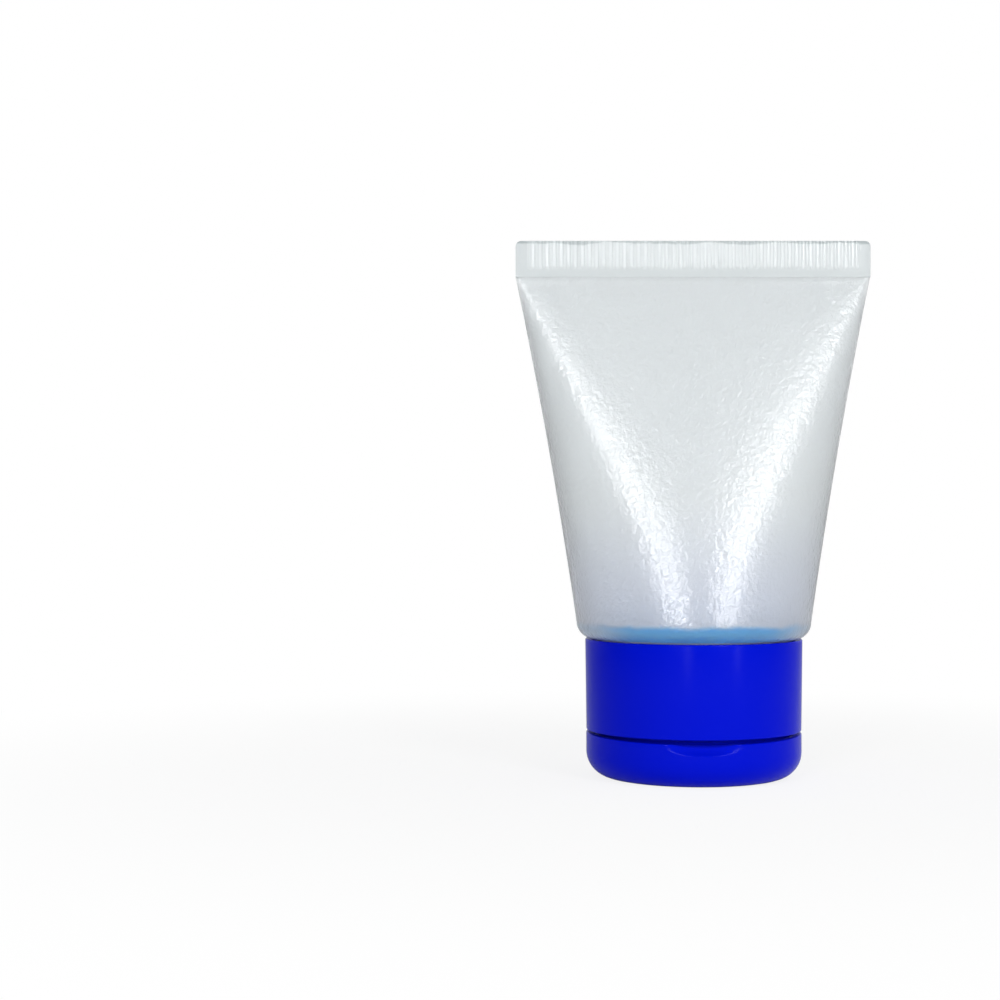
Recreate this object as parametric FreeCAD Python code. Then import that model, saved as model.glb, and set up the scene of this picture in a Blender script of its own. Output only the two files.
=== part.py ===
import FreeCAD, Part
import math
import os

os.makedirs("parts", exist_ok=True)

V = FreeCAD.Vector
UP = V(0, 0, 1)

# Travel squeeze tube standing upside down on its flip-top cap. Sizes are in millimetres.
# The origin is the middle of the lid's standing face, +Z is up, and the thumb recess faces -Y.

# Tube sleeve: a round extrusion, pressed flat at its closed end
tube_od = 35.0
sleeve_wall = 0.5
sleeve_length = 51.7
flare_bow = 0.4
cavity_margin = 0.8
round_end_sharpness = 1.0
flat_end_sharpness = 4.0

# Crimped end seal
seal_width = 53.3
seal_height = 5.4
seal_thickness = 0.9
seal_corner = 0.8
seal_step = 0.03
rib_pitch = 1.06
rib_depth = 0.12
rib_height = 4.3
rib_border = 1.3
rib_foot_share = 0.1
rib_crest_share = 0.35

# Moulded head: bent shoulder, cone and neck
bend_radius = 2.6
bend_wrap = 62.0
shoulder_slope = 22.0
head_wall = 1.2
neck_od = 15.2
neck_bore = 11.0
neck_root_fillet = 0.8
neck_end_round = 0.3

# Cap base: skirt, stepped deck, socket and pouring hole
rim_inset = 1.3
skirt_draft = 0.175
cap_base_height = 13.68
skirt_wall = 1.1
deck_wall = 1.25
deck_step = 1.4
socket_wall = 1.3
socket_length = 8.6
nozzle_od = 5.4
nozzle_drop = 0.9
orifice = 3.5
seam_edge_round = 0.2

# Cap lid: shallow cup with a plug
lid_flush = 0.025
lid_height = 7.07
lid_wall = 1.4
lid_floor = 1.3
lid_bottom_round = 3.9
plug_reach = 1.2
plug_stem_od = 4.0
recess_depth = 0.9
recess_height = 1.5

# Snap bead on the front of the deck step
bead_proud = 0.12
bead_radius = 0.3
bead_arc = 40.0

# Living hinge at the back
hinge_width = 8.0
film_thickness = 0.3
film_length = 1.4
pad_margin = 0.75
pad_height = 1.6
pad_slope = 0.8
pad_proud = 0.1

# Clearances
rim_gap = 0.2
seat_gap = 0.05
neck_thread_room = 1.0
lid_step_gap = 0.3
plug_gap = 0.2
parting_gap_back = 0.05
parting_gap_front = 0.65

# Fineness of the sleeve's loft and closeness of faces that meet
loft_sections = 9
section_corners = 48
halvings = 40
weld_tolerance = 0.0005
match_tolerance = 0.0001

# Radii and heights that follow from the sizes above
tube_r = tube_od / 2
neck_r = neck_od / 2
bore_r = neck_bore / 2
rim_r = tube_r - rim_inset
seam_r = rim_r - skirt_draft
lid_r = seam_r + lid_flush
seam_z = lid_height
rim_z = seam_z + cap_base_height
land_z = seam_z + deck_wall
step_z = seam_z - deck_step
pocket_z = step_z + deck_wall
nozzle_z = step_z - nozzle_drop
step_r = lid_r - lid_wall - lid_step_gap
slope = math.tan(math.radians(shoulder_slope))
bend_end = math.radians(90 - shoulder_slope)
bend_centre_r = tube_r - bend_radius
pad_y = max(lid_r, seam_r) + pad_proud


def shoulder_drop(radius):
    """Height of the bend's centre above the shoulder's outer face at a radius."""
    tangent_r = bend_centre_r + bend_radius * math.cos(bend_end)
    if radius > tangent_r:
        return math.sqrt(bend_radius ** 2 - (radius - bend_centre_r) ** 2)
    return bend_radius * math.sin(bend_end) + (tangent_r - radius) * slope


bend_z = rim_z + rim_gap + shoulder_drop(rim_r)
seal_z = bend_z + sleeve_length
neck_end_z = land_z + seat_gap


def rounded_wire(corners):
    """Closed wire in the XZ plane through (x, z, radius) corners, each one rounded by its radius."""
    edges = []
    starts = []
    ends = []
    count = len(corners)
    for i in range(count):
        x, z, radius = corners[i]
        here = V(x, 0, z)
        before = V(corners[i - 1][0], 0, corners[i - 1][1])
        after = V(corners[(i + 1) % count][0], 0, corners[(i + 1) % count][1])
        back = (before - here).normalize()
        ahead = (after - here).normalize()
        if radius == 0:
            starts.append(here)
            ends.append(here)
            continue
        half = back.getAngle(ahead) / 2
        reach = radius / math.tan(half)
        first = here + back * reach
        last = here + ahead * reach
        inward = (back + ahead).normalize()
        middle = here + inward * (radius / math.sin(half) - radius)
        edges.append(Part.Arc(first, middle, last).toShape())
        starts.append(first)
        ends.append(last)
    for i in range(count):
        edges.append(Part.makeLine(ends[i - 1], starts[i]))
    return Part.Wire(Part.__sortEdges__(edges))


def revolved(wire):
    """Solid of revolution of an XZ profile about the Z axis."""
    return Part.Face(wire).revolve(V(0, 0, 0), UP, 360)


def section_shape(share):
    """Half width, half depth and end sharpness of the sleeve, a share of the way up to the seal."""
    flat_half = seal_width / 2 - seal_step
    thin_half = seal_thickness / 2 - seal_step
    half_width = tube_r + (flat_half - tube_r) * share - 4 * flare_bow * share * (1 - share)
    sharpness = round_end_sharpness + (flat_end_sharpness - round_end_sharpness) * share
    flat_girth = girth(flat_half, thin_half, sharpness)
    wanted = math.pi * tube_od * (1 - share) + flat_girth * share
    low, high = thin_half, tube_r
    for _ in range(halvings):
        half_depth = (low + high) / 2
        if girth(half_width, half_depth, sharpness) < wanted:
            low = half_depth
        else:
            high = half_depth
    return half_width, half_depth, sharpness


def section_points(half_width, half_depth, sharpness):
    """Points of a section: round ends joined by softly bowed flats. It is a circle where they match."""
    points = []
    for i in range(section_corners):
        angle = 2 * math.pi * i / section_corners
        c = math.cos(angle)
        flat = (half_width - half_depth) * math.tanh(sharpness * c) / math.tanh(sharpness)
        points.append((half_depth * c + flat, half_depth * math.sin(angle)))
    return points


def girth(half_width, half_depth, sharpness):
    """Length round a section, which stays nearly the same while the round sleeve is pressed flat."""
    points = section_points(half_width, half_depth, sharpness)
    return sum(math.dist(points[i - 1], points[i]) for i in range(len(points)))


def sleeve_form(inset, top_share):
    """Solid inside the sleeve's surface, inset by a wall, from the bend up to a share of the way."""
    wires = []
    for i in range(loft_sections + 1):
        share = top_share * i / loft_sections
        half_width, half_depth, sharpness = section_shape(share)
        z = bend_z + sleeve_length * share
        outline = section_points(half_width - inset, half_depth - inset, sharpness)
        knots = [float(k) for k in range(len(outline) + 1)]
        curve = Part.BSplineCurve()
        curve.interpolate(Points=[V(x, y, z) for x, y in outline], PeriodicFlag=True, Parameters=knots)
        wires.append(Part.Wire(curve.toShape()))
    return Part.makeLoft(wires, True, False)


def bend_point(radius, angle):
    """Point on a circle round the bend's centre, at an angle below the horizontal."""
    return V(bend_centre_r + radius * math.cos(angle), 0, bend_z - radius * math.sin(angle))


def bend_arc(radius, first, last):
    """Arc round the bend's centre, between two angles below the horizontal."""
    middle = (first + last) / 2
    return Part.Arc(bend_point(radius, first), bend_point(radius, middle), bend_point(radius, last)).toShape()


def sleeve_curl():
    """Lower end of the sleeve, wrapped round the head's shoulder."""
    wrap = math.radians(bend_wrap)
    inner = bend_radius - sleeve_wall
    edges = [
        bend_arc(bend_radius, 0, wrap),
        Part.makeLine(bend_point(bend_radius, wrap), bend_point(inner, wrap)),
        bend_arc(inner, wrap, 0),
        Part.makeLine(bend_point(inner, 0), bend_point(bend_radius, 0)),
    ]
    return revolved(Part.Wire(edges))


def seal_plate():
    """Pressed end of the sleeve: a plain margin, then upright ribs that run out at the cut edge."""
    half_width = seal_width / 2
    half_thick = seal_thickness / 2
    rib_zone = seal_width - 2 * rib_border
    rib_count = int(rib_zone / rib_pitch)
    first_x = -rib_count * rib_pitch / 2
    wave = []
    for i in range(rib_count):
        x = first_x + i * rib_pitch
        wave.append((x + rib_pitch * rib_foot_share, 0))
        wave.append((x + rib_pitch * rib_crest_share, rib_depth))
        wave.append((x + rib_pitch * (1 - rib_crest_share), rib_depth))
        wave.append((x + rib_pitch * (1 - rib_foot_share), 0))
    front = [(-half_width, 0)] + wave + [(half_width, 0)]
    outline = [V(x, -half_thick - rise, 0) for x, rise in front]
    outline += [V(x, half_thick - rise, 0) for x, rise in reversed(front)]
    ribs = Part.Face(Part.makePolygon(outline + outline[:1])).extrude(UP * rib_height)
    ribs.translate(UP * (seal_z + seal_height - rib_height))
    margin = Part.makeBox(seal_width, seal_thickness, seal_height - rib_height)
    margin.translate(V(-half_width, -half_thick, seal_z))
    plate = margin.fuse(ribs)
    low_z = seal_z - seal_corner
    top_z = seal_z + seal_height
    mask = rounded_wire([
        (-half_width, low_z, 0),
        (half_width, low_z, 0),
        (half_width, top_z, seal_corner),
        (-half_width, top_z, seal_corner),
    ])
    depth = seal_thickness + 2 * rib_depth
    mask = Part.Face(mask).extrude(V(0, 2 * depth, 0))
    mask.translate(V(0, -depth, 0))
    return plate.common(mask)


def tube_sleeve():
    """Hollow sleeve, closed by the seal and open at the shoulder."""
    outside = sleeve_form(0, 1)
    hollow = sleeve_form(sleeve_wall, 1 - cavity_margin / sleeve_length)
    body = outside.cut(hollow)
    return body.fuse([sleeve_curl(), seal_plate()], weld_tolerance).removeSplitter()


def tube_shoulder():
    """Head inside the sleeve's bent end: a cone down to an open neck."""
    wrap = math.radians(bend_wrap)
    seat = bend_radius - sleeve_wall
    inside = bend_radius - head_wall
    cone_rise = head_wall / math.cos(math.radians(shoulder_slope))
    neck_top_z = bend_z - shoulder_drop(neck_r)
    bore_top_z = bend_z - shoulder_drop(bore_r) + cone_rise
    edges = [
        bend_arc(seat, 0, wrap),
        Part.makeLine(bend_point(seat, wrap), bend_point(bend_radius, wrap)),
        bend_arc(bend_radius, wrap, bend_end),
        Part.makeLine(bend_point(bend_radius, bend_end), V(neck_r, 0, neck_top_z)),
        Part.makeLine(V(neck_r, 0, neck_top_z), V(neck_r, 0, neck_end_z)),
        Part.makeLine(V(neck_r, 0, neck_end_z), V(bore_r, 0, neck_end_z)),
        Part.makeLine(V(bore_r, 0, neck_end_z), V(bore_r, 0, bore_top_z)),
        Part.makeLine(V(bore_r, 0, bore_top_z), bend_point(inside, bend_end)),
        bend_arc(inside, bend_end, 0),
        Part.makeLine(bend_point(inside, 0), bend_point(seat, 0)),
    ]
    head = revolved(Part.Wire(edges))
    root = [e for e in head.Edges if is_ring(e, neck_r, neck_top_z)]
    head = head.makeFillet(neck_root_fillet, root)
    mouth = [e for e in head.Edges if is_ring(e, neck_r, neck_end_z)]
    return head.makeFillet(neck_end_round, mouth)


def is_ring(edge, radius, z):
    """Whether an edge is the circle of a radius about the Z axis at a height."""
    box = edge.BoundBox
    misses = (box.ZMin - z, box.ZMax - z, box.XMax - radius)
    return max(abs(miss) for miss in misses) < match_tolerance


def hinge_pad(bottom_z, top_z, slope_z, keep_r):
    """Flat land outside the round wall that the hinge film joins, sloped back at one end."""
    width = hinge_width + 2 * pad_margin
    reach = pad_y - keep_r + pad_proud
    back = pad_y - reach
    outline = [V(0, back, bottom_z), V(0, pad_y, bottom_z), V(0, pad_y, top_z), V(0, back, top_z)]
    if slope_z > top_z:
        outline[3] = V(0, back, slope_z)
    else:
        outline[0] = V(0, back, slope_z)
    pad = Part.Face(Part.makePolygon(outline + outline[:1])).extrude(V(width, 0, 0))
    pad.translate(V(-width / 2, 0, 0))
    height = max(top_z, slope_z) - min(bottom_z, slope_z)
    core = Part.makeCylinder(keep_r, height, V(0, 0, min(bottom_z, slope_z)))
    return pad.cut(core)


def cap_base():
    """Screw-on part of the cap: skirt, deck with its step and nozzle, and the socket for the neck."""
    socket_r = neck_r + neck_thread_room
    pocket_r = bore_r - neck_end_round
    inner_rim_r = rim_r - skirt_wall
    profile = rounded_wire([
        (rim_r, rim_z, 0),
        (seam_r, seam_z, seam_edge_round),
        (step_r, seam_z, 0),
        (step_r, step_z, 2 * seam_edge_round),
        (nozzle_od / 2, step_z, 0),
        (nozzle_od / 2, nozzle_z, seam_edge_round),
        (orifice / 2, nozzle_z, 0),
        (orifice / 2, pocket_z, 0),
        (pocket_r, pocket_z, 0),
        (pocket_r, land_z, 0),
        (socket_r, land_z, 0),
        (socket_r, land_z + socket_length, 0),
        (socket_r + socket_wall, land_z + socket_length, 0),
        (socket_r + socket_wall, pocket_z, 0),
        (step_r - deck_wall, pocket_z, 0),
        (step_r - deck_wall, land_z, 0),
        (seam_r - skirt_wall, land_z, 0),
        (inner_rim_r, rim_z - skirt_wall * slope, 0),
    ])
    base = revolved(profile)
    pad = hinge_pad(seam_z, seam_z + pad_height, seam_z + pad_height + pad_slope, seam_r - skirt_wall / 2)
    bead = Part.makeTorus(step_r + bead_proud - bead_radius, bead_radius, V(0, 0, 0), UP, 0, 360, bead_arc)
    bead.rotate(V(0, 0, 0), UP, -90 - bead_arc / 2)
    bead.translate(UP * (seam_z - deck_step / 2))
    return base.fuse([pad, bead]).removeSplitter()


def cap_lid():
    """Flip-up lid: a shallow cup with a plug for the pouring hole and a scoop for the thumb."""
    inner_r = lid_r - lid_wall
    plug_r = orifice / 2 - plug_gap
    plug_top_z = nozzle_z + plug_reach
    stem_z = nozzle_z - 2 * plug_gap
    back_z = seam_z - parting_gap_back
    profile = rounded_wire([
        (0, 0, 0),
        (lid_r, 0, lid_bottom_round),
        (lid_r, back_z, 0),
        (inner_r, back_z, 0),
        (inner_r, lid_floor, lid_bottom_round - lid_floor),
        (plug_stem_od / 2, lid_floor, 0),
        (plug_stem_od / 2, stem_z, 0),
        (plug_r, stem_z, 0),
        (plug_r, plug_top_z, plug_r / 2),
        (0, plug_top_z, 0),
    ])
    lid = revolved(profile)
    pad_z = back_z - pad_height
    pad = hinge_pad(pad_z, back_z, pad_z - pad_slope, lid_r - lid_wall / 2)
    lid = lid.fuse(pad).removeSplitter()
    wedge = Part.makeBox(4 * lid_r, 4 * lid_r, lid_height)
    wedge.translate(V(-2 * lid_r, -4 * lid_r, 0))
    tilt = math.degrees(math.atan((parting_gap_front - parting_gap_back) / (2 * lid_r)))
    wedge.rotate(V(0, 0, 0), V(1, 0, 0), tilt)
    wedge.translate(V(0, lid_r, back_z))
    front_z = seam_z - parting_gap_front
    scoop_r = (recess_depth ** 2 + recess_height ** 2) / (2 * recess_depth)
    scoop_y = -lid_r + recess_depth - scoop_r
    scoop = Part.makeCylinder(scoop_r, 2 * lid_r, V(-lid_r, scoop_y, front_z), V(1, 0, 0))
    plug = Part.makeCylinder(plug_stem_od / 2, lid_height, V(0, 0, 0))
    return lid.cut([wedge.cut(plug), scoop])


def hinge_film():
    """Living hinge: a thin film folded in a half round across the parting gap, from pad to pad."""
    fold_r = film_length / math.pi
    centre = V(-hinge_width / 2, pad_y, seam_z - parting_gap_back / 2)
    along = V(1, 0, 0)
    outer = Part.makeCylinder(fold_r + film_thickness / 2, hinge_width, centre, along)
    inner = Part.makeCylinder(fold_r - film_thickness / 2, hinge_width, centre, along)
    half = Part.makeBox(hinge_width, film_length, 2 * film_length, centre - V(0, 0, film_length))
    return outer.cut(inner).common(half)


def build():
    """Write one file per piece."""
    pieces = {
        "tube_sleeve": tube_sleeve(),
        "tube_shoulder": tube_shoulder(),
        "cap_base": cap_base(),
        "cap_lid": cap_lid(),
        "hinge_film": hinge_film(),
    }
    for name, shape in pieces.items():
        solids = shape.Solids
        print(name, len(solids), "solid, valid", shape.isValid(), "volume", round(shape.Volume, 2))
        solids[0].exportStep(f"parts/{name}.step")


build()
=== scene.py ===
import math

import bmesh
import bpy
from bpy.props import FloatProperty, FloatVectorProperty, IntProperty, PointerProperty
from mathutils import Euler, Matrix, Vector


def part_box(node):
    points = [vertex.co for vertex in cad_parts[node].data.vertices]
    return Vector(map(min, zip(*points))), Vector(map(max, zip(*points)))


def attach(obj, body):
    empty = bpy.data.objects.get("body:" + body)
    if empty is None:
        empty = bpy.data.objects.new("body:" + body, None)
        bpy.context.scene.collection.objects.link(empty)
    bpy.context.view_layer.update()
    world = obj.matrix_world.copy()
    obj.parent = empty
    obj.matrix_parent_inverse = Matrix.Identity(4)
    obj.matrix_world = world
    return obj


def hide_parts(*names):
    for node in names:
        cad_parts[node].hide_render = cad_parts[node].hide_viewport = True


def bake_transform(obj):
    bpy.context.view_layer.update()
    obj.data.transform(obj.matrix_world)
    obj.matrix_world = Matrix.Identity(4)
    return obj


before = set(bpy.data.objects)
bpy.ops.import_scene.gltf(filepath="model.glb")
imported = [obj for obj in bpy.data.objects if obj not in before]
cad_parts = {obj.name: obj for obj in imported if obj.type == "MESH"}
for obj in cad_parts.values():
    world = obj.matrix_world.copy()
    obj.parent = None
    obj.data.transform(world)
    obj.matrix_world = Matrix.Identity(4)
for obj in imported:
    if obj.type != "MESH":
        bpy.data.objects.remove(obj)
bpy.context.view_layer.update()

bl_info = {
    "name": "Travel squeeze tube",
    "version": (1, 0, 0),
    "blender": (4, 5, 0),
    "location": "View3D > Sidebar > Squeeze tube",
    "description": "Builds a frosted squeeze tube standing on its blue flip-top cap",
    "category": "Add Mesh",
}

MM = 0.001
WELD = 0.001 * MM


def linear(hex_colour):
    """Linear red, green and blue of an sRGB hex value such as #1020C0."""
    parts = [int(hex_colour[i:i + 2], 16) / 255 for i in (1, 3, 5)]
    return tuple(c / 12.92 if c <= 0.04045 else ((c + 0.055) / 1.055) ** 2.4 for c in parts)


def length(name, description, millimetres):
    """Length property with its default in millimetres."""
    return FloatProperty(name=name, description=description, default=millimetres * MM,
                         unit="LENGTH", precision=5)


def slant(name, description, degrees):
    """Angle property with its default in degrees."""
    return FloatProperty(name=name, description=description, default=math.radians(degrees),
                         subtype="ANGLE")


def tint(name, description, hex_colour):
    """Colour property with its default as an sRGB hex value."""
    return FloatVectorProperty(name=name, description=description, default=linear(hex_colour),
                               subtype="COLOR", min=0, max=1)


class TubeSizes(bpy.types.PropertyGroup):
    """Sizes of the sleeve, its seal and the moulded head."""

    radius: length("Sleeve radius", "Outer radius of the sleeve's round end", 17.5)
    wall: length("Sleeve wall", "Thickness of the extruded sleeve", 0.5)
    flare_bow: length("Flare bow", "How far the side edges bow inwards from a straight line", 0.4)
    seal_height: length("Seal height", "Height of the crimped end", 5.4)
    seal_thickness: length("Seal thickness", "Thickness of the two welded walls", 0.9)
    seal_corner: length("Seal corner", "Rounding of the seal's upper corners", 0.8)
    rib_pitch: length("Rib pitch", "Distance from rib to rib across the seal", 1.06)
    rib_depth: length("Rib depth", "Height of a rib above its groove", 0.12)
    rib_height: length("Rib height", "Length of the ribs, down from the cut edge", 4.3)
    seal_border: length("Seal border", "Least width of the plain border beside the ribs", 1.3)
    bend_radius: length("Shoulder bend", "Outer radius where the sleeve turns in over the head", 2.6)
    wrap: slant("Sleeve wrap", "How far the sleeve follows the shoulder's bend", 62)
    slope: slant("Shoulder slope", "Slope of the head's cone, from level", 22)
    head_wall: length("Head wall", "Thickness of the moulded head", 1.2)
    neck_radius: length("Neck radius", "Outer radius of the neck, without its thread", 7.6)
    bore_radius: length("Bore radius", "Inner radius of the neck", 5.5)
    thread_pitch: length("Thread pitch", "Rise of the neck's thread in one turn", 2.6)
    thread_height: length("Thread height", "How far a thread stands out from its wall", 0.7)
    around: IntProperty(name="Steps around", description="Faces round each turned piece",
                        default=256, min=64)


class CapSizes(bpy.types.PropertyGroup):
    """Sizes of the flip-top cap."""

    skirt_wall: length("Skirt wall", "Thickness of the cap's skirt", 1.1)
    deck_wall: length("Deck wall", "Thickness of the deck", 1.25)
    deck_step: length("Deck step", "How far the deck reaches down into the lid", 1.4)
    socket_radius: length("Socket radius", "Inner radius of the screw socket, without its thread", 8.6)
    socket_wall: length("Socket wall", "Thickness of the screw socket", 1.3)
    socket_length: length("Socket length", "Height of the screw socket above the deck", 8.6)
    nozzle_radius: length("Nozzle radius", "Outer radius of the pouring nozzle", 2.7)
    orifice_radius: length("Orifice radius", "Radius of the pouring hole", 1.75)
    stem_radius: length("Stem radius", "Outer radius of the lid's stem, below its plug", 2.0)
    edge_round: length("Edge rounding", "Rounding of the moulded edges", 0.2)
    lid_wall: length("Lid wall", "Thickness of the lid's side wall", 1.4)
    lid_floor: length("Lid floor", "Thickness of the lid's floor", 1.3)
    lid_round: length("Lid rounding", "Rounding of the lid's bottom edge", 3.9)
    recess_depth: length("Recess depth", "How deep the thumb recess cuts into the lid's edge", 0.9)
    recess_height: length("Recess height", "Height of the thumb recess", 1.5)
    hinge_width: length("Hinge width", "Width of the hinge film", 8.0)
    film: length("Film thickness", "Thickness of the hinge film", 0.3)
    pad_width: length("Pad width", "Width of the flat pads that the film joins", 9.5)
    seam_setback: length("Seam setback", "How much less the base's radius is than the lid's", 0.025)
    back_gap: length("Gap at the back", "Room between base and lid at the hinge", 0.05)
    front_gap: length("Gap at the front", "Room between base and lid over the thumb recess", 0.65)
    step_gap: length("Step gap", "Room between the base's step and the lid's wall", 0.3)
    plug_gap: length("Plug gap", "Room round the plug in the pouring hole", 0.2)


class Colours(bpy.types.PropertyGroup):
    """Colours of the plastics, and of the painted shade and painted light on them."""

    sleeve: tint("Sleeve", "Frosted polyethylene", "#F2F5F6")
    # Painted shade and painted light from the cap: the sleeve's colour near the head.
    sleeve_painted_shade: tint("Low sleeve", "Frosted polyethylene near the head, with light from the cap", "#E8ECF4")
    # Painted light: the cap's blue seen through the shoulder, put into the sleeve's colour.
    painted_cap_blue: tint("Carried blue", "The cap's blue as the shoulder shows it", "#80D0FF")
    crimp: tint("Crimp", "Polyethylene where it was pressed and welded", "#DCE1E2")
    # Painted shade: the darker line along the seal's top edge.
    cut: tint("Cut edge", "The rough edge where the tube was trimmed", "#9AA6A8")
    cap: tint("Cap", "Blue polypropylene", "#0011C4")


class StageSettings(bpy.types.PropertyGroup):
    """Camera placing."""

    distance: length("Camera distance", "From the camera to the tube's middle plane", 290)
    offset: length("Camera offset", "How far the camera stands to the left of the tube", 29)
    height: length("Camera height", "Height of the camera above the floor", 38.3)
    aim_height: length("Aim height", "Height that the middle of the picture shows", 41.4)
    picture_width: length("Picture width", "Width shown at the tube's middle plane", 150.2)


class Layout:
    """Places that follow from the frame and the sizes."""

    def __init__(self, scene):
        tube = scene.tube_sizes
        cap = scene.cap_sizes
        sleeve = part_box("tube_sleeve")
        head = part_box("tube_shoulder")
        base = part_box("cap_base")
        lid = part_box("cap_lid")
        self.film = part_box("hinge_film")
        self.tube_r = tube.radius
        self.seal_half = sleeve[1].x
        self.top_z = sleeve[1].z
        self.seal_z = self.top_z - tube.seal_height
        self.bend_z = head[1].z
        self.bend_centre_r = self.tube_r - tube.bend_radius
        self.neck_end_z = head[0].z
        self.rim_r = base[1].x
        self.rim_z = base[1].z
        self.lid_r = lid[1].x
        self.seam_r = self.lid_r - cap.seam_setback
        self.back_z = lid[1].z
        self.seam_z = self.back_z + cap.back_gap
        self.land_z = self.seam_z + cap.deck_wall
        self.step_z = self.seam_z - cap.deck_step
        self.pocket_z = self.step_z + cap.deck_wall
        self.nozzle_z = base[0].z
        self.step_r = self.lid_r - cap.lid_wall - cap.step_gap
        self.pad_y = base[1].y


def start_clean():
    """Object mode with nothing selected."""
    if bpy.context.object and bpy.context.object.mode != "OBJECT":
        bpy.ops.object.mode_set(mode="OBJECT")
    bpy.ops.object.select_all(action="DESELECT")


def only(piece):
    """Make a piece the only one selected, and the active one."""
    start_clean()
    piece.select_set(True)
    bpy.context.view_layer.objects.active = piece


def pick(test, kind="verts"):
    """Select, in edit mode, the vertices, edges or faces whose middle passes a test."""
    mesh = bmesh.from_edit_mesh(bpy.context.object.data)
    bpy.ops.mesh.select_all(action="DESELECT")
    bpy.context.tool_settings.mesh_select_mode = (kind == "verts", kind == "edges", kind == "faces")
    for item in getattr(mesh, kind):
        points = [item.co] if kind == "verts" else [v.co for v in item.verts]
        if test(sum(points, Vector()) / len(points)):
            item.select_set(True)
    bmesh.update_edit_mesh(bpy.context.object.data)


def tidy_mesh():
    """Merge what meets and turn all faces outwards, in edit mode."""
    bpy.ops.mesh.select_all(action="SELECT")
    bpy.ops.mesh.remove_doubles(threshold=WELD)
    bpy.ops.mesh.normals_make_consistent(inside=False)


def rounded(corners, steps=6):
    """Points of a closed outline through (x, z, radius) corners, each rounded by its radius."""
    points = []
    for i, (x, z, radius) in enumerate(corners):
        here = Vector((x, z))
        if radius == 0:
            points.append(here)
            continue
        back = (Vector(corners[i - 1][:2]) - here).normalized()
        ahead = (Vector(corners[(i + 1) % len(corners)][:2]) - here).normalized()
        half = back.angle(ahead) / 2
        middle = here + (back + ahead).normalized() * (radius / math.sin(half))
        first = (here + back * (radius / math.tan(half)) - middle).normalized()
        last = (here + ahead * (radius / math.tan(half)) - middle).normalized()
        for k in range(steps + 1):
            points.append(middle + first.slerp(last, k / steps) * radius)
    return points


def turned(name, outline, steps):
    """Turned piece: a ring of vertices is moved to an outline and spun about the Z axis."""
    start_clean()
    bpy.ops.mesh.primitive_circle_add(vertices=len(outline), radius=MM)
    piece = bpy.context.object
    piece.name = name
    for vertex, point in zip(piece.data.vertices, outline):
        vertex.co = (point.x, 0, point.y)
    bpy.ops.object.mode_set(mode="EDIT")
    pick(lambda m: m.x < WELD, "edges")
    bpy.ops.mesh.delete(type="EDGE")
    bpy.ops.mesh.select_all(action="SELECT")
    bpy.ops.mesh.spin(steps=steps, angle=2 * math.pi, center=(0, 0, 0), axis=(0, 0, 1))
    tidy_mesh()
    bpy.ops.object.mode_set(mode="OBJECT")
    return piece


def modified(piece, kind, **settings):
    """Put a modifier on a piece and apply it."""
    only(piece)
    modifier = piece.modifiers.new(kind.lower(), kind)
    for key, value in settings.items():
        setattr(modifier, key, value)
    bpy.ops.object.modifier_apply(modifier=modifier.name)


def joined(piece, other):
    """Make another closed form, which reaches into the piece, part of its mesh."""
    only(piece)
    other.select_set(True)
    bpy.ops.object.join()


def finished(piece, body, node, material, angle=35):
    """Shade, dress and place a piece: it rides on its body and stands for its node."""
    only(piece)
    bpy.ops.object.transform_apply(location=True, rotation=True, scale=True)
    bpy.ops.object.shade_smooth_by_angle(angle=math.radians(angle))
    piece.data.materials.clear()
    piece.data.materials.append(material)
    if body:
        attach(piece, body)
    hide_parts(node)


def put(tree, kind, settings=None, links=None):
    """Add a node with its settings and its links, given as {input: (node, output)}."""
    node = tree.nodes.new(kind)
    for key, value in (settings or {}).items():
        if isinstance(key, str) and hasattr(node, key):
            setattr(node, key, value)
        else:
            node.inputs[key].default_value = value
    for key, (source, output) in (links or {}).items():
        tree.links.new(source.outputs[output], node.inputs[key])
    return node


def blank_material(name):
    """Material with an empty node tree."""
    material = bpy.data.materials.new(name)
    material.use_nodes = True
    material.node_tree.nodes.clear()
    return material


# Real sizes of the patterns in the plastics, and of the painted shade and painted light on them. The peel
# is as wide as the pebbles that the photo's highlights show. Draw lines are finer than that on a real sleeve,
# and drawn coarser so that they show.
PEEL_WIDTH = 0.8 * MM
DRAW_LINE_WIDTH = 0.7 * MM
DRAW_LINE_DEPTH = 0.05 * MM
DRAW_LINE_STRETCH = 0.02
# Height over which the painted shade near the head fades out.
LOW_SHADE_HEIGHT = 20 * MM
BLUE_WAVE_WIDTH = 5 * MM
BLUE_WAVE_HEIGHT = 1.6 * MM
# Share of the painted shade colour along the top edge.
EDGE_SHADE_SHARE = 0.6
RIPPLE_WIDTH = 5 * MM
RIPPLE_DEPTH = 0.15 * MM


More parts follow.
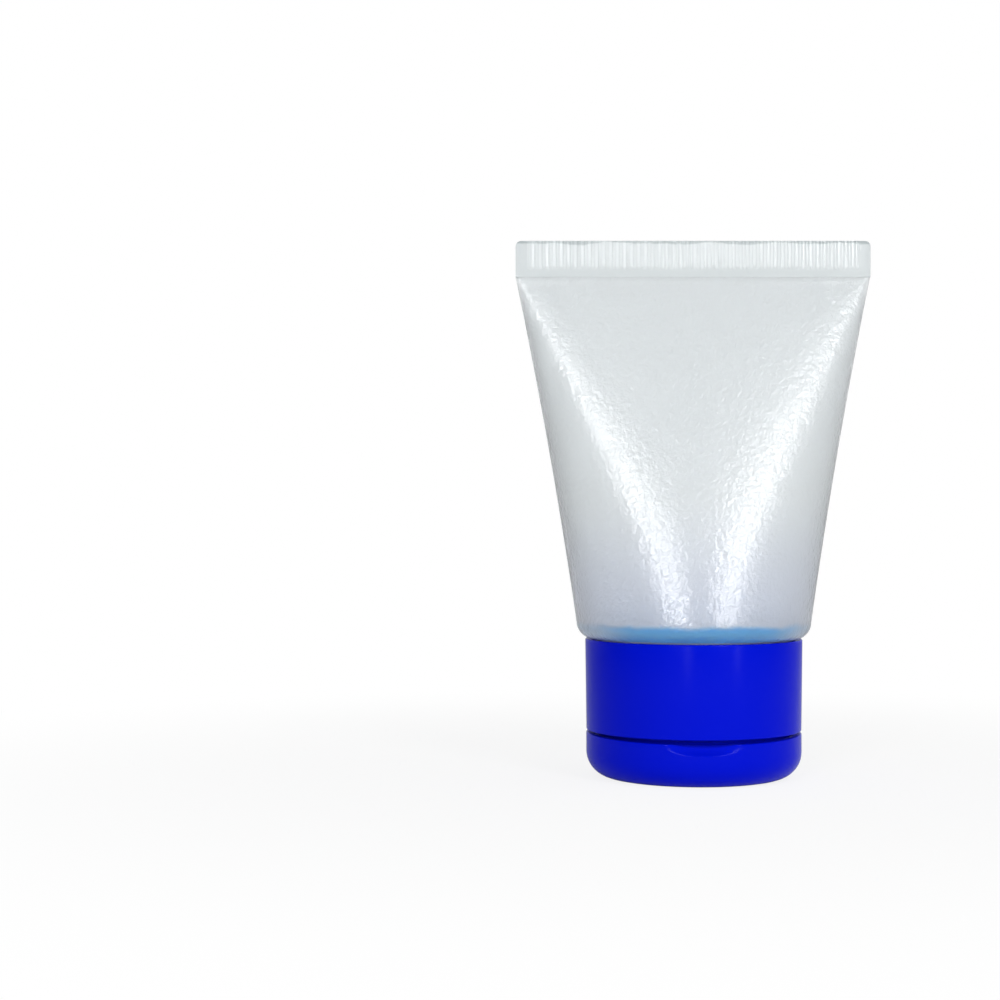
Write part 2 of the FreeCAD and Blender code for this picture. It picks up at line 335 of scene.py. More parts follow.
def frosted_polyethylene(name, clear, upper, blue, peel_height):
    """Low-density polyethylene with a frosted skin: milky, see-through and softly glossy.

    The plastic's own IOR of 1.51 is in the coat, which gives the soft gloss. The wall below it has
    1.3, matched to the photo, since with 1.51 the tube's sides come out too dark. Its roughness
    scatters what is behind it: that gives the even milky white. Near the cap the colour is painted a
    little greyer and bluer, as painted shade and painted light from the cap. The orange peel breaks
    up the edges of a highlight into pebbles, and drawing leaves faint upright lines. The share "blue"
    of the cap's colour is painted in a soft, wavy band over the bend, as painted light from the cap
    seen through the shoulder, and fades towards the sides as the shoulder curves away. A wavy darker
    line along the trimmed top edge is painted shade.
    """
    if name in bpy.data.materials:
        return bpy.data.materials[name]
    material = blank_material(name)
    tree = material.node_tree
    lay = Layout(bpy.context.scene)
    colours = bpy.context.scene.colours
    place = put(tree, "ShaderNodeTexCoord")
    axes = put(tree, "ShaderNodeSeparateXYZ", None, {0: (place, "Object")})
    wave = put(tree, "ShaderNodeTexNoise", {"Scale": 1 / BLUE_WAVE_WIDTH, "Detail": 3.0},
               {"Vector": (place, "Object")})
    wavy_z = put(tree, "ShaderNodeMath", {"operation": "MULTIPLY_ADD", 1: BLUE_WAVE_HEIGHT},
                 {0: (wave, "Fac"), 2: (axes, "Z")})
    # Painted shade and painted light from the cap: the wall is greyer and bluer near the head, fading out
    # upwards.
    milky = put(tree, "ShaderNodeMapRange", {
        "interpolation_type": "SMOOTHSTEP",
        "From Min": lay.bend_z,
        "From Max": lay.bend_z + LOW_SHADE_HEIGHT,
    }, {"Value": (axes, "Z")})
    wall = put(tree, "ShaderNodeMix", {"data_type": "RGBA", 6: (*colours.sleeve_painted_shade, 1), 7: (*upper, 1)},
               {0: (milky, "Result")})
    # Painted shade: a wavy darker line along the top edge.
    edge = put(tree, "ShaderNodeMapRange", {
        "interpolation_type": "SMOOTHSTEP",
        "From Min": lay.top_z + 0.3 * MM,
        "From Max": lay.top_z + 0.6 * MM,
        "To Max": EDGE_SHADE_SHARE,
    }, {"Value": (wavy_z, "Value")})
    # The wall colour with the painted shade along the top edge.
    trimmed = put(tree, "ShaderNodeMix", {"data_type": "RGBA", 7: (*colours.cut, 1)},
                  {0: (edge, "Result"), 6: (wall, 2)})
    # Painted light: a wavy band of the cap's blue over the bend, fading towards the sides.
    low = put(tree, "ShaderNodeMapRange", {
        "interpolation_type": "SMOOTHSTEP",
        "From Min": lay.bend_z + 1.1 * MM,
        "From Max": lay.bend_z + 0.1 * MM,
        "To Max": blue,
    }, {"Value": (wavy_z, "Value")})
    aside = put(tree, "ShaderNodeMath", {"operation": "ABSOLUTE"}, {0: (axes, "X")})
    middle = put(tree, "ShaderNodeMapRange", {
        "interpolation_type": "SMOOTHSTEP",
        "From Min": 16 * MM,
        "From Max": 9 * MM,
        "To Min": 0.25,
    }, {"Value": (aside, "Value")})
    band = put(tree, "ShaderNodeMath", {"operation": "MULTIPLY"}, {0: (low, "Result"), 1: (middle, "Result")})
    # Mix in the painted cap blue over its band.
    base = put(tree, "ShaderNodeMix", {"data_type": "RGBA", 7: (*colours.painted_cap_blue, 1)},
               {0: (band, "Value"), 6: (trimmed, 2)})
    upright = put(tree, "ShaderNodeMapping", {"Scale": (1, 1, DRAW_LINE_STRETCH)},
                  {"Vector": (place, "Object")})
    lines = put(tree, "ShaderNodeTexNoise", {"Scale": 1 / DRAW_LINE_WIDTH, "Detail": 3.0},
                {"Vector": (upright, "Vector")})
    drawn = put(tree, "ShaderNodeBump", {"Strength": 0.3, "Distance": DRAW_LINE_DEPTH},
                {"Height": (lines, "Fac")})
    peel = put(tree, "ShaderNodeTexNoise", {"Scale": 1 / PEEL_WIDTH, "Detail": 2.0, "Roughness": 0.6},
               {"Vector": (place, "Object")})
    relief = put(tree, "ShaderNodeBump", {"Strength": 1.0, "Distance": peel_height},
                 {"Height": (peel, "Fac"), "Normal": (drawn, "Normal")})
    shader = put(tree, "ShaderNodeBsdfPrincipled", {
        "Roughness": 0.4,
        "IOR": 1.3,
        "Transmission Weight": clear,
        "Coat Weight": 1.0,
        "Coat Roughness": 0.12,
        "Coat IOR": 1.51,
    }, {"Base Color": (base, 2), "Normal": (relief, "Normal"), "Coat Normal": (relief, "Normal")})
    put(tree, "ShaderNodeOutputMaterial", None, {"Surface": (shader, "BSDF")})
    return material


def extruded_polyethylene():
    """The sleeve's own plastic, drawn from the extruder: the clearest, with the strongest peel."""
    colours = bpy.context.scene.colours
    # The sleeve alone takes the painted cap blue over the bend.
    return frosted_polyethylene("frosted low-density polyethylene, extruded",
                                clear=0.8, upper=colours.sleeve, blue=1.0, peel_height=0.14 * MM)


def crimped_polyethylene():
    """The sleeve's plastic where hot jaws pressed it into ribs: milkier, its peel almost flat."""
    colours = bpy.context.scene.colours
    return frosted_polyethylene("frosted low-density polyethylene, crimped and welded",
                                clear=0.5, upper=colours.crimp, blue=0.0, peel_height=0.04 * MM)


def moulded_polyethylene():
    """The head's plastic, injection-moulded: thicker, so milkier, and smoother than the sleeve."""
    colours = bpy.context.scene.colours
    return frosted_polyethylene("frosted low-density polyethylene, injection-moulded",
                                clear=0.7, upper=colours.sleeve, blue=0.0, peel_height=0.06 * MM)


def glossy_polypropylene():
    """Blue polypropylene, injection-moulded in a polished tool.

    The eye gets one deep, even blue. The gloss is weaker than the plastic's own, matched to the
    photo, which shows almost no white on the blue. The skin's faint ripple, from shrinking in the
    mould, keeps reflections from being straight.
    """
    name = "blue polypropylene, injection-moulded"
    if name in bpy.data.materials:
        return bpy.data.materials[name]
    material = blank_material(name)
    tree = material.node_tree
    place = put(tree, "ShaderNodeTexCoord")
    ripple = put(tree, "ShaderNodeTexNoise", {"Scale": 1 / RIPPLE_WIDTH, "Detail": 2.0},
                 {"Vector": (place, "Object")})
    relief = put(tree, "ShaderNodeBump", {"Strength": 0.3, "Distance": RIPPLE_DEPTH},
                 {"Height": (ripple, "Fac")})
    shader = put(tree, "ShaderNodeBsdfPrincipled", {
        "Base Color": (*bpy.context.scene.colours.cap, 1),
        "Roughness": 0.2,
        "IOR": 1.49,
        "Specular IOR Level": 0.05,
    }, {"Normal": (relief, "Normal")})
    put(tree, "ShaderNodeOutputMaterial", None, {"Surface": (shader, "BSDF")})
    return material


def pale_paper():
    """Smooth white paper, pressed matt: it fades into the white ground away from the tube.

    It is plain, with no grain that would show from this far: the eye gets only the soft shadow.
    """
    material = blank_material("white paper, pressed matt")
    tree = material.node_tree
    place = put(tree, "ShaderNodeTexCoord")
    reach = put(tree, "ShaderNodeVectorMath", {"operation": "LENGTH"}, {0: (place, "Object")})
    far = put(tree, "ShaderNodeMapRange", {
        "interpolation_type": "SMOOTHSTEP",
        "From Min": 40 * MM,
        "From Max": 160 * MM,
        "To Min": 0.85,
        "To Max": 1.0,
    }, {"Value": (reach, "Value")})
    path = put(tree, "ShaderNodeLightPath")
    straight = put(tree, "ShaderNodeMath", {"operation": "MAXIMUM"},
                   {0: (path, "Is Camera Ray"), 1: (path, "Is Transmission Ray")})
    paper = put(tree, "ShaderNodeBsdfDiffuse", {"Color": (0.92, 0.92, 0.92, 1)})
    glow = put(tree, "ShaderNodeEmission", {"Color": (1, 1, 1, 1), "Strength": 1.0})
    seen = put(tree, "ShaderNodeMath", {"operation": "MULTIPLY"},
               {0: (straight, "Value"), 1: (far, "Result")})
    mix = put(tree, "ShaderNodeMixShader", None,
              {0: (seen, "Value"), 1: (paper, "BSDF"), 2: (glow, "Emission")})
    put(tree, "ShaderNodeOutputMaterial", None, {"Surface": (mix, "Shader")})
    return material


def section_points(half_width, half_depth, sharpness, angles):
    """Points of a sleeve section: round ends joined by softly bowed flats."""
    points = []
    for angle in angles:
        c = math.cos(angle)
        flat = (half_width - half_depth) * math.tanh(sharpness * c) / math.tanh(sharpness)
        points.append((half_depth * c + flat, half_depth * math.sin(angle)))
    return points


def girth(half_width, half_depth, sharpness):
    """Length round a section."""
    steps = 48
    angles = [2 * math.pi * i / steps for i in range(steps)]
    points = section_points(half_width, half_depth, sharpness, angles)
    return sum(math.dist(points[i - 1], points[i]) for i in range(len(points)))


def section_shape(lay, sizes, share):
    """Half width, half depth and sharpness of the sleeve, whose girth stays nearly the same.

    The share goes from 0 at the round end to 1 at the seal. The half depth is found by halving.
    """
    thin = sizes.seal_thickness / 2
    bow = 4 * sizes.flare_bow * share * (1 - share)
    half_width = lay.tube_r + (lay.seal_half - lay.tube_r) * share - bow
    sharpness = 1 + 3 * share
    wanted = 2 * math.pi * lay.tube_r * (1 - share) + girth(lay.seal_half, thin, sharpness) * share
    low, high = thin, lay.tube_r
    for _ in range(30):
        half_depth = (low + high) / 2
        if girth(half_width, half_depth, sharpness) < wanted:
            low = half_depth
        else:
            high = half_depth
    return half_width, half_depth, sharpness


class TUBE_OT_sleeve(bpy.types.Operator):
    """Build the thin hollow sleeve, from its curled end up to the seal"""

    bl_idname = "squeeze_tube.sleeve"
    bl_label = "Sleeve"

    def execute(self, context):
        sizes = context.scene.tube_sizes
        lay = Layout(context.scene)
        inside_top_z = lay.seal_z - 0.8 * MM
        skins = [self.skin(lay, sizes, 0, lay.seal_z), self.skin(lay, sizes, sizes.wall, inside_top_z)]
        only(skins[0])
        skins[1].select_set(True)
        bpy.ops.object.join()
        piece = context.object
        piece.name = "sleeve_wall"
        bpy.ops.object.mode_set(mode="EDIT")
        for test in (lambda m: m.z < lay.bend_z - 0.5 * MM, lambda m: m.z > lay.seal_z - MM):
            bpy.ops.mesh.select_all(action="DESELECT")
            context.tool_settings.mesh_select_mode = (False, True, False)
            mesh = bmesh.from_edit_mesh(piece.data)
            for edge in mesh.edges:
                edge.select_set(edge.is_boundary and test((edge.verts[0].co + edge.verts[1].co) / 2))
            bmesh.update_edit_mesh(piece.data)
            bpy.ops.mesh.bridge_edge_loops()
        bpy.ops.mesh.select_all(action="SELECT")
        bpy.ops.mesh.normals_make_consistent(inside=False)
        bpy.ops.object.mode_set(mode="OBJECT")
        finished(piece, "tube", "tube_sleeve", extruded_polyethylene(), angle=60)
        return {"FINISHED"}

    def skin(self, lay, sizes, inset, top_z):
        """One side of the wall: an open cylinder, pressed flat towards its top and curled in below."""
        start_clean()
        height = top_z - lay.bend_z
        wall_cuts, curl_steps = 79, 8
        bpy.ops.mesh.primitive_cylinder_add(
            vertices=sizes.around, radius=lay.tube_r - inset, depth=height, end_fill_type="NOTHING",
            location=(0, 0, lay.bend_z + height / 2))
        piece = bpy.context.object
        bpy.ops.object.transform_apply(location=True, rotation=True, scale=True)
        bpy.ops.object.mode_set(mode="EDIT")
        pick(lambda m: abs(m.z - lay.bend_z - height / 2) < 0.1 * MM, "edges")
        bpy.ops.mesh.subdivide(number_cuts=wall_cuts)
        pick(lambda m: m.z < lay.bend_z + 0.01 * MM, "edges")
        radius = lay.tube_r - inset
        drop = 0
        for k in range(1, curl_steps + 1):
            turn = sizes.wrap * k / curl_steps
            next_radius = lay.bend_centre_r + (sizes.bend_radius - inset) * math.cos(turn)
            next_drop = (sizes.bend_radius - inset) * math.sin(turn)
            bpy.ops.mesh.extrude_region_move(TRANSFORM_OT_translate={"value": (0, 0, drop - next_drop)})
            bpy.ops.transform.resize(value=(next_radius / radius, next_radius / radius, 1),
                                     center_override=(0, 0, 0))
            radius, drop = next_radius, next_drop
        bpy.ops.object.mode_set(mode="OBJECT")
        rows = {}
        for vertex in piece.data.vertices:
            rows.setdefault(round(vertex.co.z, 7), []).append(vertex)
        for z, row in rows.items():
            share = (z - lay.bend_z) / (lay.seal_z - lay.bend_z)
            if share < 0.001:
                continue
            half_width, half_depth, sharpness = section_shape(lay, sizes, min(share, 1))
            angles = [math.atan2(v.co.y, v.co.x) for v in row]
            points = section_points(half_width - inset, half_depth - inset, sharpness, angles)
            for vertex, (x, y) in zip(row, points):
                vertex.co = (x, y, z)
        return piece


class TUBE_OT_seal(bpy.types.Operator):
    """Build the crimped end: a welded plate with upright ribs"""

    bl_idname = "squeeze_tube.seal"
    bl_label = "Crimped seal"

    def execute(self, context):
        sizes = context.scene.tube_sizes
        lay = Layout(context.scene)
        columns, rows, corner_steps = 10, 36, 6
        rib_fade = 0.4 * MM
        count = int(2 * (lay.seal_half - sizes.seal_border) / sizes.rib_pitch)
        start_clean()
        bpy.ops.mesh.primitive_grid_add(x_subdivisions=columns, y_subdivisions=rows, size=2)
        piece = context.object
        piece.name = "crimped_seal"
        first_x = -count * sizes.rib_pitch / 2
        rib_end_z = lay.top_z - sizes.rib_height
        for vertex in piece.data.vertices:
            across = (vertex.co.x + 1) / 2
            z = lay.seal_z + (vertex.co.y + 1) / 2 * sizes.seal_height
            wave = 0.5 - 0.5 * math.cos(2 * math.pi * across)
            rise = min(1, max(0, (z - rib_end_z) / rib_fade))
            vertex.co = (first_x + across * sizes.rib_pitch, -sizes.rib_depth * wave * rise, z)
        modified(piece, "ARRAY", count=count, use_merge_vertices=True, merge_threshold=WELD,
                 use_relative_offset=False, use_constant_offset=True,
                 constant_offset_displace=(sizes.rib_pitch, 0, 0))
        bpy.ops.object.mode_set(mode="EDIT")
        border = lay.seal_half + first_x
        corner = sizes.seal_corner
        stops = [border - corner + corner * math.sin(math.pi / 2 * k / corner_steps)
                 for k in range(corner_steps + 1)]
        for side in (-1, 1):
            pick(lambda m: m.x * side > -first_x - WELD, "edges")
            reached, tall = 0, sizes.seal_height
            for stop in stops:
                beyond = max(0, stop - (border - corner))
                next_tall = sizes.seal_height - corner + math.sqrt(max(0, corner ** 2 - beyond ** 2))
                bpy.ops.mesh.extrude_region_move(
                    TRANSFORM_OT_translate={"value": (side * (stop - reached), 0, 0)})
                bpy.ops.transform.resize(value=(1, 1, next_tall / tall),
                                         center_override=(0, 0, lay.seal_z))
                reached, tall = stop, next_tall
        bpy.ops.mesh.select_all(action="SELECT")
        bpy.ops.mesh.normals_make_consistent(inside=False)
        bpy.ops.object.mode_set(mode="OBJECT")
        modified(piece, "SOLIDIFY", thickness=sizes.seal_thickness, offset=0, use_even_offset=False)
        finished(piece, "tube", "tube_sleeve", crimped_polyethylene(), angle=50)
        return {"FINISHED"}


def thread(name, radius, height, low_z, pitch, turns, outward):
    """Screw thread: a small four-sided ring wound up a helix, fading in and out at its ends."""
    start_clean()
    bpy.ops.mesh.primitive_circle_add(vertices=4, radius=MM)
    piece = bpy.context.object
    piece.name = name
    way = 1 if outward else -1
    root_depth = 0.15 * MM
    fade_steps = 10
    foot = radius - way * root_depth
    crest = radius + way * height
    half_foot, half_crest = 0.28 * pitch, 0.1 * pitch
    corners = [(foot, -half_foot), (crest, -half_crest), (crest, half_crest), (foot, half_foot)]
    for vertex, (x, z) in zip(piece.data.vertices, corners):
        vertex.co = (x, 0, low_z + z)
    steps = 96
    last = int(steps * turns)
    modified(piece, "SCREW", axis="Z", angle=2 * math.pi * turns, screw_offset=pitch * turns,
             steps=last, render_steps=last, use_merge_vertices=False)
    for vertex in piece.data.vertices:
        angle = math.atan2(vertex.co.y, vertex.co.x) % (2 * math.pi)
        turn = round((vertex.co.z - low_z) / pitch - angle / (2 * math.pi))
        step = (turn + angle / (2 * math.pi)) * steps
        fade = min(1, max(0, min(step, last - step)) / fade_steps)
        here = math.hypot(vertex.co.x, vertex.co.y)
        wanted = foot + (here - foot) * fade
        vertex.co.x *= wanted / here
        vertex.co.y *= wanted / here
    bpy.ops.object.mode_set(mode="EDIT")
    bpy.ops.mesh.select_all(action="SELECT")
    bpy.ops.mesh.fill_holes(sides=4)
    bpy.ops.mesh.normals_make_consistent(inside=False)
    bpy.ops.object.mode_set(mode="OBJECT")
    return piece


class TUBE_OT_head(bpy.types.Operator):
    """Build the moulded head: shoulder, cone and threaded neck"""

    bl_idname = "squeeze_tube.head"
    bl_label = "Shoulder and neck"

    def execute(self, context):
        sizes = context.scene.tube_sizes
        lay = Layout(context.scene)
        bend = sizes.bend_radius
        seat = bend - sizes.wall
        inside = bend - sizes.head_wall
        end = math.pi / 2 - sizes.slope
        centre = Vector((lay.bend_centre_r, lay.bend_z))

        def on_arc(radius, angle):
            return centre + radius * Vector((math.cos(angle), -math.sin(angle)))

        def arc(radius, first, last, steps=8):
            return [on_arc(radius, first + (last - first) * k / steps) for k in range(steps + 1)]

        outer_end = on_arc(bend, end)
        neck_top_z = outer_end.y - (outer_end.x - sizes.neck_radius) * math.tan(sizes.slope)
        inner_end = on_arc(inside, end)
        bore_top_z = inner_end.y - (inner_end.x - sizes.bore_radius) * math.tan(sizes.slope)
        root_round, lip_round, bore_lip_round, bore_root_round = 0.8 * MM, 0.3 * MM, 0.15 * MM, 0.6 * MM
        neck = rounded([
            (outer_end.x, outer_end.y, 0),
            (sizes.neck_radius, neck_top_z, root_round),
            (sizes.neck_radius, lay.neck_end_z, lip_round),
            (sizes.bore_radius, lay.neck_end_z, bore_lip_round),
            (sizes.bore_radius, bore_top_z, bore_root_round),
            (inner_end.x, inner_end.y, 0),
        ])
        outline = arc(seat, 0, sizes.wrap) + arc(bend, sizes.wrap, end)[:-1] + neck
        outline += arc(inside, end, 0)[1:]
        piece = turned("shoulder_and_neck", outline, sizes.around)
        first_thread_z = lay.neck_end_z + 1.6 * MM
        helix = thread("neck_thread", sizes.neck_radius, sizes.thread_height, first_thread_z,
                       sizes.thread_pitch, turns=2.25, outward=True)
        joined(piece, helix)
        finished(piece, "tube", "tube_shoulder", moulded_polyethylene())
        return {"FINISHED"}


def soft_step(value, width):
    """Zero for a negative value and the value for a positive one, with a rounded change between."""
    if abs(value) >= width:
        return max(0, value)
    return (value + width) ** 2 / (4 * width)


def pad_block(name, seam_z, way, inner_y, outer_y, width):
    """Flat land behind the round wall that the hinge film joins.

    It reaches from the seam upwards (way 1) or downwards (way -1), and further at the wall.
    """
    outer_height, inner_height, edge = 1.6 * MM, 2.4 * MM, 0.12 * MM
    start_clean()
    bpy.ops.mesh.primitive_cube_add(size=1)
    piece = bpy.context.object
    piece.name = name
    for vertex in piece.data.vertices:
        x, y, z = vertex.co
        height = 0 if z * way < 0 else outer_height if y > 0 else inner_height
        vertex.co = (math.copysign(width / 2, x), outer_y if y > 0 else inner_y, seam_z + way * height)
    modified(piece, "BEVEL", width=edge, segments=3, limit_method="ANGLE", angle_limit=math.radians(30))
    return piece


class TUBE_OT_cap_base(bpy.types.Operator):
    """Build the screw-on part of the cap: skirt, deck, nozzle and threaded socket"""

    bl_idname = "squeeze_tube.cap_base"
    bl_label = "Cap base"

    def execute(self, context):
        cap = context.scene.cap_sizes
        tube = context.scene.tube_sizes
        lay = Layout(context.scene)
        soft = cap.edge_round
        socket_outer = cap.socket_radius + cap.socket_wall
        socket_z = lay.land_z + cap.socket_length
        pocket_r = tube.bore_radius - cap.step_gap
        outline = rounded([
            (lay.rim_r, lay.rim_z, soft),
            (lay.seam_r, lay.seam_z, soft),
            (lay.step_r, lay.seam_z, soft / 2),
            (lay.step_r, lay.step_z, 2 * soft),
            (cap.nozzle_radius, lay.step_z, soft),
            (cap.nozzle_radius, lay.nozzle_z, soft),
            (cap.orifice_radius, lay.nozzle_z, soft / 2),
            (cap.orifice_radius, lay.pocket_z, soft / 2),
            (pocket_r, lay.pocket_z, soft),
            (pocket_r, lay.land_z, soft / 2),
            (cap.socket_radius, lay.land_z, soft),
            (cap.socket_radius, socket_z, soft),
            (socket_outer, socket_z, soft),
            (socket_outer, lay.pocket_z, soft),
            (lay.step_r - cap.deck_wall, lay.pocket_z, soft),
            (lay.step_r - cap.deck_wall, lay.land_z, soft),
            (lay.seam_r - cap.skirt_wall, lay.land_z, soft),
            (lay.rim_r - cap.skirt_wall, lay.rim_z - cap.skirt_wall * math.tan(tube.slope), soft / 2),
        ])
        piece = turned("cap_skirt_and_deck", outline, tube.around)
        joined(piece, pad_block("base_pad", lay.seam_z, 1, lay.seam_r - cap.skirt_wall / 2, lay.pad_y,
                                cap.pad_width))
        first_thread_z = lay.land_z + 2.9 * MM
        helix = thread("socket_thread", cap.socket_radius, tube.thread_height, first_thread_z,
                       tube.thread_pitch, turns=1.75, outward=False)
        joined(piece, helix)
        finished(piece, "cap", "cap_base", glossy_polypropylene(), angle=30)
        return {"FINISHED"}


class TUBE_OT_cap_lid(bpy.types.Operator):
    """Build the flip-up lid: a shallow cup with a plug and a scoop for the thumb"""

    bl_idname = "squeeze_tube.cap_lid"
    bl_label = "Cap lid"

    def execute(self, context):
        cap = context.scene.cap_sizes
        tube = context.scene.tube_sizes
        lay = Layout(context.scene)
        soft = cap.edge_round
        inner_r = lay.lid_r - cap.lid_wall
        plug_r = cap.orifice_radius - cap.plug_gap
        plug_top_z = lay.nozzle_z + 1.2 * MM
        stem_z = lay.nozzle_z - 2 * cap.plug_gap
        rows = 24
        wall_low_z = lay.back_z - 3.0 * MM
        blend = 0.2 * MM
        corners = [(0, 0, 0), (lay.lid_r, 0, cap.lid_round)]
        corners += [(lay.lid_r, wall_low_z + (lay.back_z - soft - wall_low_z) * k / rows, 0)
                    for k in range(rows)]
        corners += [
            (lay.lid_r, lay.back_z, soft),
            (inner_r, lay.back_z, soft),
            (inner_r, cap.lid_floor, cap.lid_round - cap.lid_floor),
            (cap.stem_radius, cap.lid_floor, 2 * soft),
            (cap.stem_radius, stem_z, soft / 2),
            (plug_r, stem_z, soft / 2),
            (plug_r, plug_top_z, plug_r / 2),
            (0, plug_top_z, 0),
        ]
        piece = turned("lid_cup", rounded(corners, steps=12), tube.around)
        tilt = (cap.front_gap - cap.back_gap) / (2 * lay.lid_r)
        scoop_r = (cap.recess_depth ** 2 + cap.recess_height ** 2) / (2 * cap.recess_depth)
        front_z = lay.seam_z - cap.front_gap
        for vertex in piece.data.vertices:
            x, y, z = vertex.co
            if math.hypot(x, y) > inner_r - 0.1 * MM and z > wall_low_z:
                share = (z - wall_low_z) / (lay.back_z - wall_low_z)
                z -= tilt * (lay.lid_r - y) * share
                if y < 0 and math.hypot(x, y) > lay.lid_r - soft:
                    reach = scoop_r ** 2 - (z - front_z) ** 2
                    if reach > 0:
                        over = -lay.lid_r + cap.recess_depth - scoop_r + math.sqrt(reach) - y
                        y += soft_step(over, blend)
                vertex.co = (x, y, z)
        joined(piece, pad_block("lid_pad", lay.back_z, -1, lay.lid_r - cap.lid_wall / 2, lay.pad_y,
                                cap.pad_width))
        finished(piece, "lid", "cap_lid", glossy_polypropylene(), angle=30)
        return {"FINISHED"}


class TUBE_OT_hinge(bpy.types.Operator):
    """Build the living hinge: a thin curved film between the base and the lid"""

    bl_idname = "squeeze_tube.hinge"
    bl_label = "Living hinge"

    def execute(self, context):
        cap = context.scene.cap_sizes
        lay = Layout(context.scene)
        low, high = lay.film
        middle_z = (low.z + high.z) / 2
        outer_r = (high.z - low.z) / 2
        inner_r = outer_r - cap.film
        outline = [(outer_r, a) for a in range(-90, 91, 15)]
        outline += [(inner_r, a) for a in range(90, -91, -15)]
        start_clean()
        bpy.ops.mesh.primitive_circle_add(vertices=len(outline), radius=MM)
        piece = context.object
        piece.name = "hinge_strip"
        for vertex, (radius, angle) in zip(piece.data.vertices, outline):
            turn = math.radians(angle)
            vertex.co = (-cap.hinge_width / 2, lay.pad_y + radius * math.cos(turn),
                         middle_z + radius * math.sin(turn))
        bpy.ops.object.mode_set(mode="EDIT")
        bpy.ops.mesh.select_all(action="SELECT")
        bpy.ops.mesh.edge_face_add()
        bpy.ops.mesh.extrude_region_move(TRANSFORM_OT_translate={"value": (cap.hinge_width, 0, 0)})
        tidy_mesh()
        bpy.ops.object.mode_set(mode="OBJECT")
        finished(piece, None, "hinge_film", glossy_polypropylene(), angle=40)
        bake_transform(piece)
        return {"FINISHED"}


def set_camera(scene):
    """Camera at the photo's viewing angle, a little left of the tube."""
    stage = scene.stage_settings
    lens = bpy.data.cameras.new("camera")
    lens.sensor_width = 36
    lens.lens = lens.sensor_width * stage.distance / stage.picture_width
    camera = bpy.data.objects.new("camera", lens)
    scene.collection.objects.link(camera)
    camera.location = (-stage.offset, -stage.distance, stage.height)
    pitch = math.atan((stage.aim_height - stage.height) / stage.distance)
    camera.rotation_euler = Euler((math.pi / 2 + pitch, 0, 0))
    scene.camera = camera


def set_surroundings(scene):
    """White ground for the camera and through the plastic, a soft grey room for all other light.

    The room is darker to the left and, in reflections, darker behind the camera.
    """
    world = bpy.data.worlds.new("studio")
    scene.world = world
    world.use_nodes = True
    tree = world.node_tree
    tree.nodes.clear()
    place = put(tree, "ShaderNodeTexCoord")
    way = put(tree, "ShaderNodeSeparateXYZ", None, {0: (place, "Generated")})
    behind = put(tree, "ShaderNodeMapRange", {
        "interpolation_type": "SMOOTHSTEP",
        "From Min": -0.3,
        "From Max": 0.95,
        "To Min": 0.03,
        "To Max": 0.75,
    }, {"Value": (way, "Y")})
    sideways = put(tree, "ShaderNodeMapRange", {"From Min": -1.0, "To Min": 0.2, "To Max": 0.7},
                   {"Value": (way, "X")})
    path = put(tree, "ShaderNodeLightPath")
    fill = put(tree, "ShaderNodeMix", None,
               {0: (path, "Is Glossy Ray"), 2: (sideways, "Result"), 3: (behind, "Result")})
    straight = put(tree, "ShaderNodeMath", {"operation": "MAXIMUM"},
                   {0: (path, "Is Camera Ray"), 1: (path, "Is Transmission Ray")})
    white = put(tree, "ShaderNodeBackground", {"Color": (1, 1, 1, 1), "Strength": 1.0})
    room = put(tree, "ShaderNodeBackground", {"Color": (0.96, 0.98, 1, 1)}, {"Strength": (fill, "Result")})
    mix = put(tree, "ShaderNodeMixShader", None,
              {0: (straight, "Value"), 1: (room, "Background"), 2: (white, "Background")})
    put(tree, "ShaderNodeOutputWorld", None, {"Surface": (mix, "Shader")})


# Soft boxes: name, azimuth and elevation in degrees, width and height in metres, power in watts.
# The tall ones draw the long highlights down the sleeve, and the low ones carry them on to its foot.
SOFT_BOXES = (
    ("left soft box", -20, 22, 0.16, 0.36, 1.65),
    ("right soft box", 27, 22, 0.17, 0.36, 1.85),
    ("low left box", -11, 2, 0.05, 0.11, 0.12),
    ("low right box", 41, 2, 0.05, 0.11, 0.14),
)
LAMP_TARGET = Vector((0, 0, 40 * MM))
LAMP_DISTANCE = 0.7


def soft_box(name, azimuth, elevation, width, height, power):
    """Soft box aimed at the tube, placed by its direction: azimuth from the front, to the right."""
    data = bpy.data.lights.new(name, "AREA")
    data.shape = "RECTANGLE"
    data.size = width
    data.size_y = height
    data.energy = power
    light = bpy.data.objects.new(name, data)
    bpy.context.scene.collection.objects.link(light)
    a = math.radians(azimuth)
    e = math.radians(elevation)
    way = Vector((math.sin(a) * math.cos(e), -math.cos(a) * math.cos(e), math.sin(e)))
    light.location = LAMP_TARGET + way * LAMP_DISTANCE
    light.rotation_euler = way.to_track_quat("Z", "Y").to_euler()


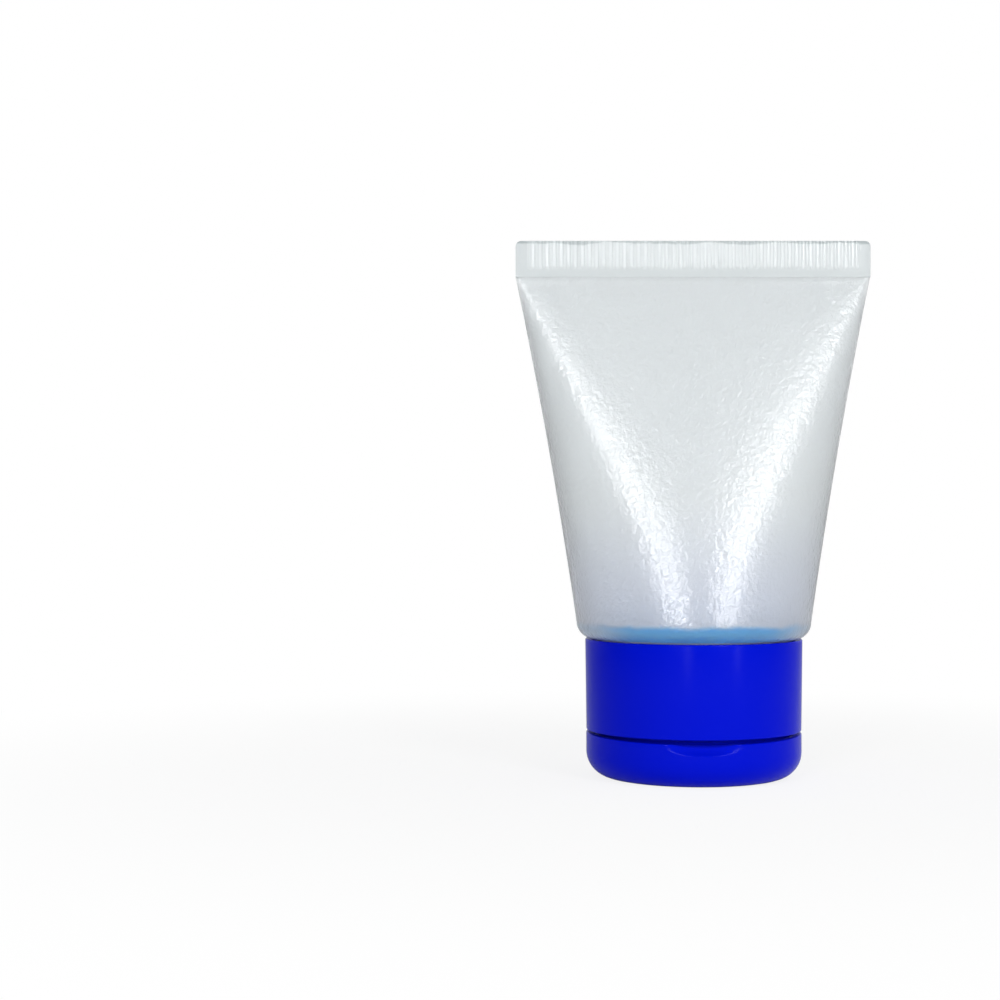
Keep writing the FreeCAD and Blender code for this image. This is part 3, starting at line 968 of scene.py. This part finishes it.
class TUBE_OT_stage(bpy.types.Operator):
    """Set up the camera, surroundings, floor and lights"""

    bl_idname = "squeeze_tube.stage"
    bl_label = "Stage"

    def execute(self, context):
        scene = context.scene
        scene.view_settings.view_transform = "Standard"
        set_camera(scene)
        set_surroundings(scene)
        start_clean()
        bpy.ops.mesh.primitive_plane_add(size=6, location=(0, 0, 0))
        floor = context.object
        floor.name = "floor"
        floor.data.materials.append(pale_paper())
        for box in SOFT_BOXES:
            soft_box(*box)
        return {"FINISHED"}


class TUBE_PT_panel(bpy.types.Panel):
    """Sidebar panel that lists the pieces"""

    bl_label = "Squeeze tube"
    bl_idname = "TUBE_PT_panel"
    bl_space_type = "VIEW_3D"
    bl_region_type = "UI"
    bl_category = "Squeeze tube"

    def draw(self, context):
        scene = context.scene
        for group in (scene.tube_sizes, scene.cap_sizes, scene.colours, scene.stage_settings):
            for name in group.__annotations__:
                self.layout.prop(group, name)
        for operator in OPERATORS:
            self.layout.operator(operator.bl_idname)


OPERATORS = (TUBE_OT_stage, TUBE_OT_sleeve, TUBE_OT_seal, TUBE_OT_head, TUBE_OT_cap_base,
             TUBE_OT_cap_lid, TUBE_OT_hinge)
CLASSES = (TubeSizes, CapSizes, Colours, StageSettings, *OPERATORS, TUBE_PT_panel)


def register():
    """Register the classes and hang their settings on the scene."""
    for item in CLASSES:
        bpy.utils.register_class(item)
    bpy.types.Scene.tube_sizes = PointerProperty(type=TubeSizes)
    bpy.types.Scene.cap_sizes = PointerProperty(type=CapSizes)
    bpy.types.Scene.colours = PointerProperty(type=Colours)
    bpy.types.Scene.stage_settings = PointerProperty(type=StageSettings)


def unregister():
    """Take the settings off the scene and the classes out."""
    del bpy.types.Scene.stage_settings
    del bpy.types.Scene.colours
    del bpy.types.Scene.cap_sizes
    del bpy.types.Scene.tube_sizes
    for item in reversed(CLASSES):
        bpy.utils.unregister_class(item)


def main():
    """Build all the pieces in order."""
    register()
    bpy.ops.squeeze_tube.stage()
    bpy.ops.squeeze_tube.sleeve()
    bpy.ops.squeeze_tube.seal()
    bpy.ops.squeeze_tube.head()
    bpy.ops.squeeze_tube.cap_base()
    bpy.ops.squeeze_tube.cap_lid()
    bpy.ops.squeeze_tube.hinge()


if __name__ == "__main__":
    main()
